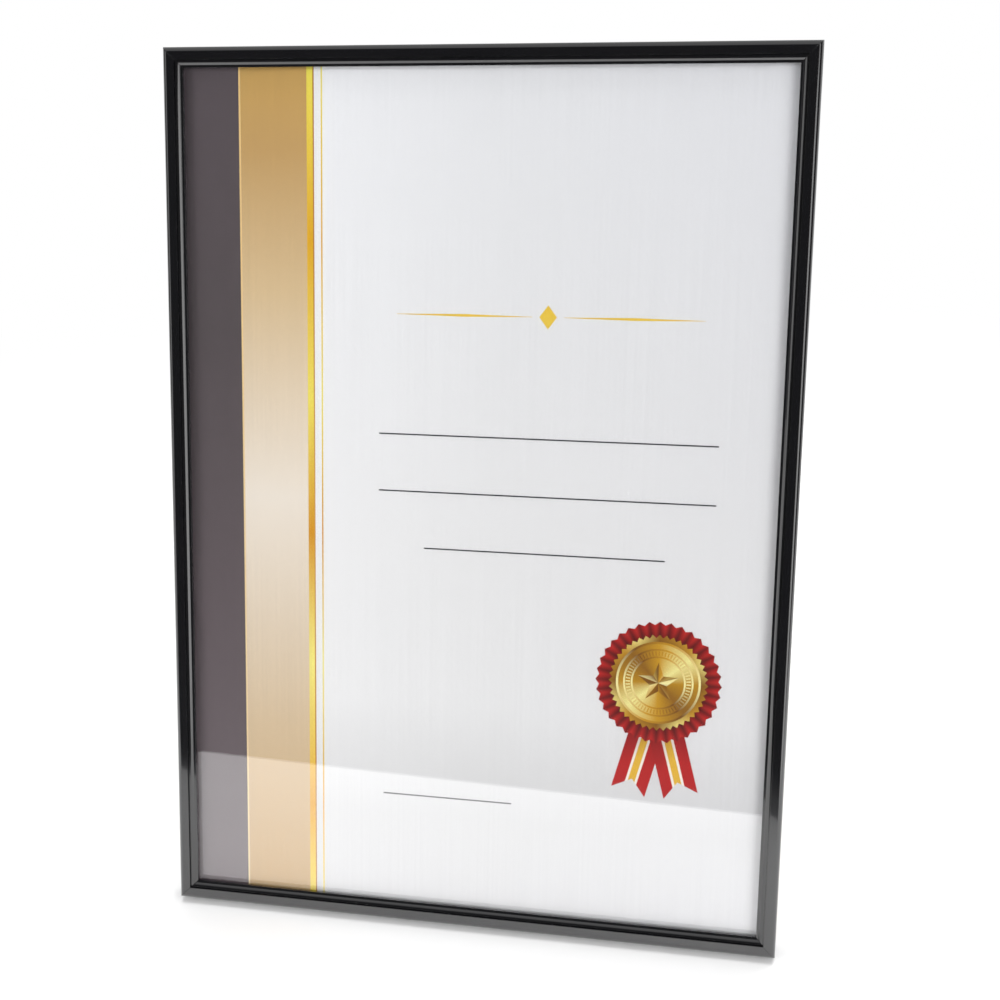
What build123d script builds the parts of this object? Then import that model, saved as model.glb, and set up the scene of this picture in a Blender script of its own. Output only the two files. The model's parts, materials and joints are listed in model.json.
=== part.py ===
from build123d import *
import math
import os

# A3 certificate frame, millimetres, +Z up, front towards -Y, standing on its open strut.
# Every piece is first laid out upright: x = 0 in the middle, y = 0 on the rails' back faces
# and z = 0 on the underside of the bottom rail. Then the whole frame leans back on the strut.

# Sheet, glass and backboard, stacked in the rails' pocket
SHEET_W = 297.0
SHEET_H = 420.0
SHEET_T = 0.35
GLASS_T = 2.0
BOARD_T = 2.5
PACK_PLAY = 0.75  # play of the stack in the pocket, on each side
LIP = 4.0  # how far the sight lip covers the sheet

# Rail moulding, from the rounded outer edge to the sight edge
RAIL_W = 9.5
RAIL_D = 15.0
EDGE_R = 2.6  # rounded outer front edge
FACE_FALL = 0.3  # how far the main face falls towards the quirk
QUIRK_W = 0.4  # narrow channel between main face and bead
QUIRK_D = 0.45  # its depth below the top of the bead
BEAD_W = 2.0
BEAD_FALL = 1.1  # how far the bead falls from the quirk to the flat
BEAD_CROWN = 0.18  # how far it swells over a straight slope
FLAT_W = 1.2  # flat between the bead and the sight edge
FLAT_FALL = 0.2
LIP_T = 1.5  # height of the sight edge above the glass
SEAT_D = 4.2  # glass seat behind the front of the moulding
BACK_EASE = 0.5  # eased outer back edge

# Turn buttons, two on each side, and the groove in the rails that takes their tips
BUTTON_T = 0.8
BUTTON_LIFT = 0.1
BUTTON_IN = 9.0  # pivot inside the backboard's edge
BUTTON_BITE = 2.0  # how far the tip reaches into the groove
BUTTON_HEAD_R = 5.5
BUTTON_TIP_W = 8.0
TAB_W = 5.0  # thumb tab, bent up at the back of the button
TAB_L = 3.5
TAB_H = 2.2
GROOVE_D = 2.6
GROOVE_CLEAR = 0.3
BUTTON_CORNER_X = 53.5  # top and bottom pivots in from the backboard's sides
BUTTON_CORNER_Z = 80.0  # side pivots in from the backboard's top and bottom

# Rivets, many-sided instead of round because there are so many of them
RIVET_SIDES = 16
PIVOT_R = 1.5
PIVOT_CLEAR = 0.05
RIVET_R = 1.4
RIVET_HEAD_R = 3.0
RIVET_HEAD_T = 0.9
RIVET_BEVEL = 0.6  # bevel round the top of the head

# Corner V-nails, driven across each mitre from the back
NAIL_T = 0.5
NAIL_H = 4.0
NAIL_SINK = 0.3
NAIL_COVER = 1.0  # plastic left between the nail and each face of the wall

# Easel strut and its hinge
STRUT_T = 2.5
STRUT_TOP_W = 48.0
STRUT_FOOT_W = 96.0
STRUT_OPEN = 18.0  # opening angle at the stop, degrees
FOOT_CLEAR = 1.0  # folded strut above the bottom rail's wall
ARCH_W = 40.0  # arch between the two toes
ARCH_H = 12.0
STRUT_TOP_R = 4.0
PIN_DROP = 111.0  # hinge pin below the top of the frame
PIN_R = 1.0
PIN_HEAD_R = 1.6
PIN_HEAD_T = 0.6
LEAF_T = 0.8
HINGE_W = 42.0
KNUCKLE_L = 15.0  # middle knuckle, on the moving leaf
KNUCKLE_GAP = 0.2
KNUCKLE_CLEAR = 0.05  # moving knuckle round the pin
NOTCH_GAP = 0.3
FIXED_LEAF_H = 22.0
MOVING_LEAF_H = 26.0
LEAF_CORNER_R = 4.0
LEAF_RIVET_X = 13.0
FIXED_RIVET_Z = 13.0  # above the pin
MOVING_RIVET_Z = 16.0  # below the pin
HEEL_H = 7.0  # stop tab above the pin
STOP_GAP = 0.1
FOLD_GAP = 0.3  # folded strut off the backboard

# Ring hangers, at the middle of the top edge and of one side
RING_R = 1.0
WIRE_SIDES = 10  # flats of the bent wire; its bar is round
RING_W = 16.0  # across the ring, to the middle of the wire
RING_CORNER_R = 2.0
RING_LEG = 1.0
RING_CLEAR = 0.15
STRAP_T = 0.6
STRAP_W = 10.0
STRAP_L = 22.0
STRAP_CORNER_R = 3.3  # corners of the strap's free end
STRAP_RIVET_IN = 5.0  # rivet from the strap's free end
HANGER_IN = 26.0  # ring pivot inside the backboard's edge

# Sizes that follow from those above
SIGHT_W = SHEET_W - 2 * LIP
SIGHT_H = SHEET_H - 2 * LIP
OUTER_W = SIGHT_W + 2 * RAIL_W
OUTER_H = SIGHT_H + 2 * RAIL_W
MID_Z = OUTER_H / 2
WALL = RAIL_W - LIP - PACK_PLAY
FRONT = -RAIL_D
SEAT = FRONT + SEAT_D
GLASS_BACK = SEAT + GLASS_T
BOARD_FRONT = GLASS_BACK + SHEET_T
BOARD_REAR = BOARD_FRONT + BOARD_T
BUTTON_FRONT = BOARD_REAR + BUTTON_LIFT
GROOVE_FRONT = BUTTON_FRONT - GROOVE_CLEAR
GROOVE_REAR = BUTTON_FRONT + BUTTON_T + GROOVE_CLEAR
PIN_Z = OUTER_H - PIN_DROP
KNUCKLE_R = PIN_R + LEAF_T
PIN_Y = BOARD_REAR + max(KNUCKLE_R, FOLD_GAP + STRUT_T - PIN_R)
STRUT_L = PIN_Z - WALL - FOOT_CLEAR
OPEN = math.radians(STRUT_OPEN)
LEAN = math.degrees(
    math.atan2(PIN_Z - STRUT_L * math.cos(OPEN), STRUT_L * math.sin(OPEN) + PIN_Y + BACK_EASE)
)
LOOP_R = RING_R + RING_CLEAR + STRAP_T

# A sketch plane seen from behind: x to the right as seen from the front, y down, normal to the back
BACK = Plane(origin=(0, 0, 0), x_dir=(1, 0, 0), z_dir=(0, 1, 0))

# Each side of the frame as a turn about Y that takes the bottom side there
SIDE_TURN = {"bottom": 0, "left": 90, "top": 180, "right": -90}


def rail_profile():
    """Section of the moulding: x runs in from the outer face, y from the front to the back."""
    bead_end = RAIL_W - FLAT_W
    bead_start = bead_end - BEAD_W
    face_end = bead_start - QUIRK_W
    flat_y = SEAT - LIP_T - FLAT_FALL
    bead_y = flat_y - BEAD_FALL
    outside = Polyline((BACK_EASE, 0), (0, -BACK_EASE), (0, FRONT + EDGE_R))
    edge = CenterArc((EDGE_R, FRONT + EDGE_R), EDGE_R, 180, 90)
    face = Polyline(
        (EDGE_R, FRONT),
        (face_end, FRONT + FACE_FALL),
        (face_end, bead_y + QUIRK_D),
        (bead_start, bead_y + QUIRK_D),
        (bead_start, bead_y),
    )
    bead = SagittaArc((bead_start, bead_y), (bead_end, flat_y), -BEAD_CROWN)
    inside = Polyline(
        (bead_end, flat_y),
        (RAIL_W, SEAT - LIP_T),
        (RAIL_W, SEAT),
        (WALL, SEAT),
        (WALL, GROOVE_FRONT),
        (WALL - GROOVE_D, GROOVE_FRONT),
        (WALL - GROOVE_D, GROOVE_REAR),
        (WALL, GROOVE_REAR),
        (WALL, 0),
        (BACK_EASE, 0),
    )
    return make_face(Curve() + [outside, edge, face, bead, inside])


def rail(side):
    """One rail, cut to 45 degree mitres, in its place on the frame."""
    upright = side in ("left", "right")
    length = OUTER_H if upright else OUTER_W
    half_span = (OUTER_W if upright else OUTER_H) / 2
    end = Plane(origin=(length / 2, 0, 0), x_dir=(0, 0, 1), z_dir=(-1, 0, 0))
    bar = extrude(end * rail_profile(), length)
    footprint = Polyline(
        (-length / 2, 0),
        (length / 2, 0),
        (length / 2 - RAIL_W, RAIL_W),
        (-length / 2 + RAIL_W, RAIL_W),
        close=True,
    )
    mitred = bar & extrude(Plane.XZ * make_face(footprint), RAIL_D)
    return Pos(0, 0, MID_Z) * Rot(0, SIDE_TURN[side], 0) * Pos(0, 0, -half_span) * mitred


def v_nails():
    """Four right-angled nails that bridge the mitres, each with a wing in either rail."""
    tip = WALL - NAIL_COVER
    outline = [
        (tip, tip),
        (NAIL_COVER, tip),
        (NAIL_COVER, tip - NAIL_T),
        (tip - NAIL_T, tip - NAIL_T),
        (tip - NAIL_T, NAIL_COVER),
        (tip, NAIL_COVER),
    ]
    nails = []
    for x_sign in (-1, 1):
        for z_sign in (-1, 1):
            corner = [
                (x_sign * (OUTER_W / 2 - across), MID_Z + z_sign * (OUTER_H / 2 - up))
                for across, up in outline
            ]
            section = Plane.XZ.offset(NAIL_SINK) * make_face(Polyline(*corner, close=True))
            nails.append(extrude(section, NAIL_H))
    return nails


def panel(front, thickness):
    """A sheet of the pocket's stack, from its front face back."""
    return Pos(0, front, MID_Z) * extrude(BACK * Rectangle(SHEET_W, SHEET_H), thickness)


def rivet_section(radius):
    """Section of a rivet's shank or head, and of the hole that the shank fills."""
    return RegularPolygon(radius, RIVET_SIDES)


def rivet(shank_r, grip):
    """A bevel-headed rivet along +Y: the shank's end on y = 0, the head beyond the grip."""
    head = extrude(BACK.offset(grip) * rivet_section(RIVET_HEAD_R), RIVET_HEAD_T)
    head = chamfer(head.faces().sort_by(Axis.Y)[-1].edges(), RIVET_BEVEL)
    return head + extrude(BACK * rivet_section(shank_r), grip)


def button_places():
    """Name, side and pivot of each turn button, with the pivot on the backboard's rear face."""
    edge_x = SHEET_W / 2 - BUTTON_IN
    edge_z = SHEET_H / 2 - BUTTON_IN
    places = []
    for side, z_sign in (("top", 1), ("bottom", -1)):
        for end, x_sign in (("left", -1), ("right", 1)):
            pivot = (x_sign * (SHEET_W / 2 - BUTTON_CORNER_X), BOARD_REAR, MID_Z + z_sign * edge_z)
            places.append((f"turn_button_{side}_{end}", side, pivot))
    for side, x_sign in (("left", -1), ("right", 1)):
        for end, z_sign in (("upper", 1), ("lower", -1)):
            pivot = (x_sign * edge_x, BOARD_REAR, MID_Z + z_sign * (SHEET_H / 2 - BUTTON_CORNER_Z))
            places.append((f"turn_button_{side}_{end}", side, pivot))
    return places


def turn_button():
    """A stamped button with its pivot on the origin, its tip down and its thumb tab up."""
    reach = BUTTON_IN + PACK_PLAY + BUTTON_BITE
    taper = Polyline(
        (-BUTTON_HEAD_R, 0),
        (BUTTON_HEAD_R, 0),
        (BUTTON_TIP_W / 2, reach),
        (-BUTTON_TIP_W / 2, reach),
        close=True,
    )
    tongue = make_face(taper) & Circle(reach)
    tab_end = BUTTON_HEAD_R + TAB_L
    tail = Pos(0, -tab_end / 2) * Rectangle(TAB_W, tab_end)
    blank = tongue + Circle(BUTTON_HEAD_R) + tail - Circle(PIVOT_R + PIVOT_CLEAR)
    flat = extrude(BACK * blank, BUTTON_T)
    tab_foot = BACK * Pos(0, BUTTON_T / 2 - tab_end) * Rectangle(TAB_W, BUTTON_T)
    return Pos(0, BUTTON_LIFT, 0) * (flat + extrude(tab_foot, BUTTON_T + TAB_H))


def barrel(radius, x_from, x_to):
    """A cylinder on the hinge pin's axis between two places along X."""
    return extrude(Plane.YZ.offset(x_from) * Circle(radius), x_to - x_from)


def leaf_blank(height, along):
    """A hinge leaf's outline from the pin to its far edge, which has rounded corners."""
    sheet = Pos(0, along * height / 2) * Rectangle(HINGE_W, height)
    far_corners = sheet.vertices().sort_by(Axis.Y)
    far_corners = far_corners[-2:] if along > 0 else far_corners[:2]
    return fillet(far_corners, LEAF_CORNER_R)


def fixed_leaf():
    """The leaf on the backboard, above the pin, with the two outer knuckles; pin on the origin."""
    middle = KNUCKLE_L / 2 + KNUCKLE_GAP
    notch_h = KNUCKLE_R + NOTCH_GAP
    blank = leaf_blank(FIXED_LEAF_H, -1) - Pos(0, -notch_h / 2) * Rectangle(2 * middle, notch_h)
    for x_sign in (-1, 1):
        blank -= Pos(x_sign * LEAF_RIVET_X, -FIXED_RIVET_Z) * rivet_section(RIVET_R)
    leaf = Pos(0, BOARD_REAR - PIN_Y, 0) * extrude(BACK * blank, LEAF_T)
    leaf += barrel(KNUCKLE_R, -HINGE_W / 2, -middle)
    leaf += barrel(KNUCKLE_R, middle, HINGE_W / 2)
    return leaf - barrel(PIN_R, -HINGE_W / 2, HINGE_W / 2)


def moving_leaf(opened):
    """The leaf on the strut with the middle knuckle and the heel that stops it; pin on the origin."""
    notch_h = KNUCKLE_R + NOTCH_GAP
    blank = leaf_blank(MOVING_LEAF_H, 1)
    notch_w = (HINGE_W - KNUCKLE_L) / 2
    for x_sign in (-1, 1):
        notch_x = x_sign * (KNUCKLE_L + notch_w) / 2
        blank -= Pos(notch_x, notch_h / 2) * Rectangle(notch_w, notch_h)
        blank -= Pos(x_sign * LEAF_RIVET_X, MOVING_RIVET_Z) * rivet_section(RIVET_R)
    plate = Pos(0, PIN_R, 0) * extrude(BACK * blank, LEAF_T)
    heel_front = BOARD_REAR + LEAF_T + STOP_GAP - PIN_Y
    heel = Pos(0, heel_front, 0) * extrude(
        BACK * Pos(0, -HEEL_H / 2) * Rectangle(KNUCKLE_L, HEEL_H), LEAF_T
    )
    leaf = opened * plate + barrel(KNUCKLE_R, -KNUCKLE_L / 2, KNUCKLE_L / 2) + heel
    return leaf - barrel(PIN_R + KNUCKLE_CLEAR, -KNUCKLE_L / 2, KNUCKLE_L / 2)


def hinge_pin():
    """The hinge pin with its two peened heads; its middle on the origin."""
    half = HINGE_W / 2
    pin = barrel(PIN_R, -half - PIN_HEAD_T, half + PIN_HEAD_T)
    pin += barrel(PIN_HEAD_R, -half - PIN_HEAD_T, -half)
    return pin + barrel(PIN_HEAD_R, half, half + PIN_HEAD_T)


def strut():
    """The easel leg folded against the backboard, hinge pin on the origin, with a bevelled foot."""
    top = KNUCKLE_R + NOTCH_GAP
    below = STRUT_L + ARCH_H
    slope = (STRUT_FOOT_W - STRUT_TOP_W) / 2 / (STRUT_L - top)
    half_below = STRUT_TOP_W / 2 + slope * (below - top)
    outline = Polyline(
        (-STRUT_TOP_W / 2, top),
        (STRUT_TOP_W / 2, top),
        (half_below, below),
        (-half_below, below),
        close=True,
    )
    board = make_face(outline)
    board = fillet(board.vertices().sort_by(Axis.Y)[:2], STRUT_TOP_R)
    board -= Pos(0, STRUT_L) * Ellipse(ARCH_W / 2, ARCH_H)
    for x_sign in (-1, 1):
        board -= Pos(x_sign * LEAF_RIVET_X, MOVING_RIVET_Z) * rivet_section(RIVET_R)
    leg = Pos(0, PIN_R - STRUT_T, 0) * extrude(BACK * board, STRUT_T)
    foot = Pos(0, 0, -STRUT_L) * Rot(LEAN - STRUT_OPEN, 0, 0)
    floor = Box(2 * STRUT_FOOT_W, STRUT_L, 2 * ARCH_H, align=(Align.CENTER, Align.CENTER, Align.MAX))
    return leg - foot * floor


def hanger_strap():
    """A folded strap, the ring's bar on the origin, its tail down along the backboard."""
    tail = Pos(0, STRAP_L / 2) * Rectangle(STRAP_W, STRAP_L)
    tail = fillet(tail.vertices().sort_by(Axis.Y)[-2:], STRAP_CORNER_R)
    tail -= Pos(0, STRAP_L - STRAP_RIVET_IN) * rivet_section(RIVET_R)
    strap = Pos(0, -LOOP_R, 0) * extrude(BACK * tail, 2 * STRAP_T)
    strap += barrel(LOOP_R, -STRAP_W / 2, STRAP_W / 2)
    return strap - barrel(RING_R + RING_CLEAR, -STRAP_W / 2, STRAP_W / 2)


def hanger_ring():
    """A D-shaped wire ring, its bar on the origin along X and its bow hanging down."""
    half = RING_W / 2
    corner = half - RING_CORNER_R
    leg_end = RING_CORNER_R + RING_LEG
    path = Curve() + [
        Line((0, 0), (corner, 0)),
        CenterArc((corner, RING_CORNER_R), RING_CORNER_R, -90, 90),
        Line((half, RING_CORNER_R), (half, leg_end)),
        CenterArc((0, leg_end), half, 0, 90),
    ]
    wire = Plane.YZ * RegularPolygon(RING_R, WIRE_SIDES)
    right = sweep(wire, path=BACK * path)
    return right + mirror(right, Plane.YZ) + barrel(RING_R, -corner, corner)


def build():
    """Every node of the upright frame, by name."""
    opened = Rot(STRUT_OPEN, 0, 0)
    pin = Pos(0, PIN_Y, PIN_Z)
    nails = v_nails()
    nodes = {}
    for side in SIDE_TURN:
        nodes[f"{side}_rail"] = rail(side) - nails
    nodes["corner_v_nails"] = Compound(nails)

    nodes["glazing"] = panel(SEAT, GLASS_T)
    nodes["certificate_sheet"] = panel(GLASS_BACK, SHEET_T)

    board_grip = BOARD_T + LEAF_T
    fixed_rivets = [
        Pos(x_sign * LEAF_RIVET_X, BOARD_FRONT, PIN_Z + FIXED_RIVET_Z) * rivet(RIVET_R, board_grip)
        for x_sign in (-1, 1)
    ]
    moving_rivets = [
        pin * opened
        * Pos(x_sign * LEAF_RIVET_X, PIN_R - STRUT_T, -MOVING_RIVET_Z)
        * rivet(RIVET_R, STRUT_T + LEAF_T)
        for x_sign in (-1, 1)
    ]

    pivot_rivets = []
    pivot_grip = BOARD_T + 2 * BUTTON_LIFT + BUTTON_T
    for name, side, pivot in button_places():
        nodes[name] = Pos(*pivot) * Rot(0, SIDE_TURN[side], 0) * turn_button()
        pivot_rivets.append(Pos(pivot[0], BOARD_FRONT, pivot[2]) * rivet(PIVOT_R, pivot_grip))
    nodes["turn_button_rivets"] = Compound(pivot_rivets)

    hanger_y = BOARD_REAR + LOOP_R
    top_hanger = Pos(0, hanger_y, MID_Z + SHEET_H / 2 - HANGER_IN)
    side_hanger = Pos(SHEET_W / 2 - HANGER_IN, hanger_y, MID_Z) * Rot(0, 90, 0)
    ring_turns = {"top": Rot(LEAN, 0, 0), "side": Rot(180, 0, 0)}
    strap_rivets = []
    for place, hanger in (("top", top_hanger), ("side", side_hanger)):
        nodes[f"{place}_hanger_strap"] = hanger * hanger_strap()
        nodes[f"{place}_hanger_ring"] = hanger * ring_turns[place] * hanger_ring()
        seat = Pos(0, -LOOP_R - BOARD_T, STRAP_RIVET_IN - STRAP_L)
        strap_rivets.append(hanger * seat * rivet(RIVET_R, BOARD_T + 2 * STRAP_T))
    nodes["hanger_rivets"] = Compound(strap_rivets)

    nodes["backboard"] = panel(BOARD_FRONT, BOARD_T) - (fixed_rivets + pivot_rivets + strap_rivets)

    nodes["strut"] = pin * opened * strut()
    nodes["strut_hinge_fixed_leaf"] = pin * fixed_leaf()
    nodes["strut_hinge_moving_leaf"] = pin * moving_leaf(opened)
    nodes["strut_hinge_pin"] = pin * hinge_pin()
    nodes["fixed_leaf_rivets"] = Compound(fixed_rivets)
    nodes["moving_leaf_rivets"] = Compound(moving_rivets)
    return nodes


def standing(nodes):
    """The place that leans the upright frame onto its strut, with the origin under its middle."""
    lean = Rot(-LEAN, 0, 0)
    box = Compound([lean * shape for shape in nodes.values()]).bounding_box()
    return Pos(0, -(box.min.Y + box.max.Y) / 2, -box.min.Z) * lean


NODES = build()
STAND = standing(NODES)

os.makedirs("parts", exist_ok=True)
for node, solid in NODES.items():
    export_step(STAND * solid, f"parts/{node}.step")
print(f"lean {LEAN:.2f} degrees, outer size {OUTER_W:.1f} x {OUTER_H:.1f} x {RAIL_D:.1f} mm")
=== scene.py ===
"""The looks of an A3 certificate frame: its finishes, its printed sheet and a plain studio."""
import json
import logging
import math
from contextlib import contextmanager
from dataclasses import dataclass
from enum import Enum
from itertools import accumulate
from typing import Callable, Iterator

import bmesh
import bpy
from bmesh.types import BMFace, BMVert
from bpy.types import Material, Node, NodeSocket, NodeTree, Object
from mathutils import Matrix, Vector


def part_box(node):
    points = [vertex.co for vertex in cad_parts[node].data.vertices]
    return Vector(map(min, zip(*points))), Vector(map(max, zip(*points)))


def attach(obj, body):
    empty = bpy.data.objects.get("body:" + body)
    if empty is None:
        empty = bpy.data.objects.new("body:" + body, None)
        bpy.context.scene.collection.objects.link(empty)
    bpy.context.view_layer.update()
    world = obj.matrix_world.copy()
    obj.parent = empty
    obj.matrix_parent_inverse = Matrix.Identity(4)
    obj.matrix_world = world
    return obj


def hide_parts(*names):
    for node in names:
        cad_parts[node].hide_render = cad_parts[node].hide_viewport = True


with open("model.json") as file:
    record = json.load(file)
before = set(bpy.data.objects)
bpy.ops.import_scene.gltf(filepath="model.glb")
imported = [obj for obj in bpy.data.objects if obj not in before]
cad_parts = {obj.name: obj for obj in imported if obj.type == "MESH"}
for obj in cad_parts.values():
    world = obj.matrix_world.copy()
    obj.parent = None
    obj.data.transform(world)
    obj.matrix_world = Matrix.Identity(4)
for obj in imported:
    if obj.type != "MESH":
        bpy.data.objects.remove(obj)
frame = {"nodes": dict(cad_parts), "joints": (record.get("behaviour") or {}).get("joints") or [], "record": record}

LOG = logging.getLogger("certificate_frame")
MM = 0.001
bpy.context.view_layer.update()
RECORD = frame["record"]
BODY_OF = {node: body for body, nodes in RECORD["behaviour"]["bodies"].items() for node in nodes}

# Most values of a noise texture lie between these two.
NOISE_LOW = 0.3
NOISE_HIGH = 0.7

# In a copy of a CAD node, points nearer than this merge, flatter edges dissolve, sharper ones are
# rounded, and faces that meet at less than the last angle shade as one surface.
MERGE_MM = 0.002
FLAT_DEG = 0.3
SHARP_DEG = 28
SMOOTH_DEG = 33

# Points of a flat drawing that are nearer than this to a line or a point count as on it.
ON_LINE_MM = 0.1

# A face whose normal has more than this share along an axis looks along that axis.
FACING = 0.5

Stops = tuple[tuple[float, str], ...]
Inputs = dict[str | int, object]


class Element(Enum):
    """What an edit-mode selection is made of."""

    VERTEX = "VERT"
    FACE = "FACE"


class Run(Enum):
    """Which way a length of moulding runs on the frame."""

    ACROSS = "across"
    UPRIGHT = "upright"


@dataclass(frozen=True)
class Place:
    """A spot on the leaning frame: x to the right, y up the sheet, z out to the viewer, in mm.

    Attributes:
        origin: the spot in the model's frame, in metres.
        tilt: turn about X that lifts a flat drawing to the leaning sheet, in radians.
    """

    origin: Vector
    tilt: float

    @classmethod
    def of_sheet(cls) -> "Place":
        """Finds the middle of the certificate sheet, on the axes that the buttons' pivots give.

        Returns:
            That spot.
        """
        low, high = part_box("certificate_sheet")
        turn = next(j for j in frame["joints"] if j["name"] == "button_top_left_turn")
        lean = math.atan2(-turn["axis"][2], turn["axis"][1])
        return cls((low + high) / 2, math.pi / 2 - lean)

    def matrix(self) -> Matrix:
        """The matrix that takes a piece drawn flat in millimetres to this spot."""
        turn = Matrix.Rotation(self.tilt, 4, "X")
        return Matrix.Translation(self.origin) @ turn @ Matrix.Scale(MM, 4)

    def moved(self, x: float, y: float, z: float) -> "Place":
        """A spot that lies this far from here, on the same axes."""
        return Place(self.matrix() @ Vector((x, y, z)), self.tilt)


def linear(hex_code: str) -> tuple[float, float, float, float]:
    """Turns an sRGB hex colour into linear light.

    Args:
        hex_code: a colour such as "#6a5f63".

    Returns:
        Red, green, blue and an alpha of one.
    """
    channels = [int(hex_code[i : i + 2], 16) / 255 for i in (1, 3, 5)]
    light = [c / 12.92 if c <= 0.04045 else ((c + 0.055) / 1.055) ** 2.4 for c in channels]
    return light[0], light[1], light[2], 1.0


def plug(tree: NodeTree, node: Node, inputs: Inputs) -> None:
    """Fills the inputs of a shader node.

    Args:
        tree: the node tree that it is in.
        node: the node.
        inputs: for each input, by its name or number, a value, the socket to link, or the node
            whose first output is linked.
    """
    for key, value in inputs.items():
        source = value.outputs[0] if isinstance(value, Node) else value
        if isinstance(source, NodeSocket):
            tree.links.new(source, node.inputs[key])
        else:
            node.inputs[key].default_value = source


def add_node(
    tree: NodeTree, kind: str, inputs: Inputs | None = None, stops: Stops = (), **settings: object
) -> Node:
    """Adds a shader node with its settings and links.

    Args:
        tree: the node tree that it goes into.
        kind: the shader node's type.
        inputs: what fills its inputs.
        stops: places and hex colours of a colour ramp.
        settings: the node's own properties.

    Returns:
        The new node.
    """
    made = tree.nodes.new(f"ShaderNode{kind}")
    for name, value in settings.items():
        setattr(made, name, value)
    plug(tree, made, inputs or {})
    if stops:
        elements = made.color_ramp.elements
        while len(elements) < len(stops):
            elements.new(1.0)
        for element, (at, colour) in zip(elements, stops):
            element.position = at
            element.color = linear(colour)
    return made


@dataclass(frozen=True)
class Finish:
    """A procedural material, drawn in millimetres on the axes of a place on the frame."""

    name: str

    def material(self, place: Place) -> Material:
        """Makes the material, or finds it if it is made already.

        Args:
            place: the spot whose axes the pattern follows.

        Returns:
            The material.
        """
        kept = bpy.data.materials.get(self.name)
        if kept:
            return kept
        made = bpy.data.materials.new(self.name)
        made.use_nodes = True
        tree = made.node_tree
        spot = add_node(tree, "TexCoord").outputs["Object"]
        axes = {"Location": place.origin, "Rotation": (place.tilt, 0, 0), "Scale": (MM, MM, MM)}
        mm = add_node(tree, "Mapping", {"Vector": spot, **axes}, vector_type="TEXTURE")
        self.shade(tree, tree.nodes["Principled BSDF"], mm.outputs["Vector"])
        return made

    def shade(self, tree: NodeTree, shader: Node, mm: NodeSocket) -> None:
        """Wires the pattern into the shader.

        Args:
            tree: the material's node tree.
            shader: its Principled shader.
            mm: coordinates in millimetres on the place's axes.
        """
        raise NotImplementedError


@dataclass(frozen=True)
class BlackPolystyrene(Finish):
    """Extruded black polystyrene: a wet, deep gloss with faint die lines along the length.

    Attributes:
        run: which way the die lines run.
        dust_from, dust_full: the noise levels between which a speck of dust comes in.
        gloss: the roughness where the rail is clean and where it was handled.
    """

    run: Run = Run.ACROSS
    body: str = "#0a0a0d"
    dust: str = "#26272b"
    die_line_mm: float = 0.45
    die_run_mm: float = 70.0
    die_depth_mm: float = 0.02
    die_bump: float = 0.05
    dust_mm: float = 0.8
    dust_from: float = 0.68
    dust_full: float = 0.80
    handling_mm: float = 38.0
    gloss: tuple[float, float] = (0.10, 0.20)
    ior: float = 1.59
    coat_ior: float = 1.65
    coat_roughness: float = 0.04

    def shade(self, tree: NodeTree, shader: Node, mm: NodeSocket) -> None:
        """Wires die lines as bump, handling marks as roughness and a trace of dust as colour.

        Args:
            tree: the material's node tree.
            shader: its Principled shader.
            mm: coordinates in millimetres on the place's axes.
        """
        along, across = 1 / self.die_run_mm, 1 / self.die_line_mm
        stretch = (along, across, across) if self.run is Run.ACROSS else (across, along, across)
        drawn = add_node(tree, "Mapping", {"Vector": mm, "Scale": stretch})
        lines = add_node(tree, "TexNoise", {"Vector": drawn, "Scale": 1.0, "Detail": 2.0})
        bump = add_node(
            tree,
            "Bump",
            {"Height": lines, "Strength": self.die_bump, "Distance": self.die_depth_mm * MM},
        )
        marks = add_node(
            tree, "TexNoise", {"Vector": mm, "Scale": 1 / self.handling_mm, "Detail": 4.0}
        )
        gloss = add_node(
            tree,
            "MapRange",
            {
                "Value": marks,
                "From Min": NOISE_LOW,
                "From Max": NOISE_HIGH,
                "To Min": self.gloss[0],
                "To Max": self.gloss[1],
            },
        )
        specks = add_node(
            tree, "TexNoise", {"Vector": mm, "Scale": 1 / self.dust_mm, "Detail": 2.0}
        )
        colour = add_node(
            tree,
            "ValToRGB",
            {"Fac": specks},
            stops=((self.dust_from, self.body), (self.dust_full, self.dust)),
        )
        plug(
            tree,
            shader,
            {
                "Base Color": colour,
                "Roughness": gloss,
                "Normal": bump,
                "IOR": self.ior,
                "Coat Weight": 1.0,
                "Coat IOR": self.coat_ior,
                "Coat Roughness": self.coat_roughness,
            },
        )


@dataclass(frozen=True)
class FloatGlass(Finish):
    """Float glass: floated flat and fire-polished, so it shows only a mirror that grows at a slant.

    Attributes:
        cast: the colour that it gives to what lies behind it.
        head_on: how much each face mirrors straight on.
        growth: the power by which the mirror grows at a slant.
    """

    cast: str = "#ffffff"
    head_on: float = 0.095
    growth: float = 5.0

    def shade(self, tree: NodeTree, shader: Node, mm: NodeSocket) -> None:
        """Wires a clear layer with a mirror on each face, by the Schlick curve.

        Args:
            tree: the material's node tree.
            shader: its Principled shader, which glass doesn't need.
            mm: coordinates in millimetres on the place's axes, which glass doesn't need.
        """
        slant = add_node(tree, "LayerWeight", {"Blend": 0.5}).outputs["Facing"]
        power = add_node(tree, "Math", {0: slant, 1: self.growth}, operation="POWER")
        mirror = add_node(
            tree,
            "Math",
            {0: power, 1: 1.0 - self.head_on, 2: self.head_on},
            operation="MULTIPLY_ADD",
        )
        clear = add_node(tree, "BsdfTransparent", {"Color": linear(self.cast)})
        shine = add_node(tree, "BsdfGlossy", {"Color": (1, 1, 1, 1), "Roughness": 0.0})
        both = add_node(tree, "MixShader", {0: mirror, 1: clear, 2: shine})
        plug(tree, tree.nodes["Material Output"], {"Surface": both})
        tree.nodes.remove(shader)


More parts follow.
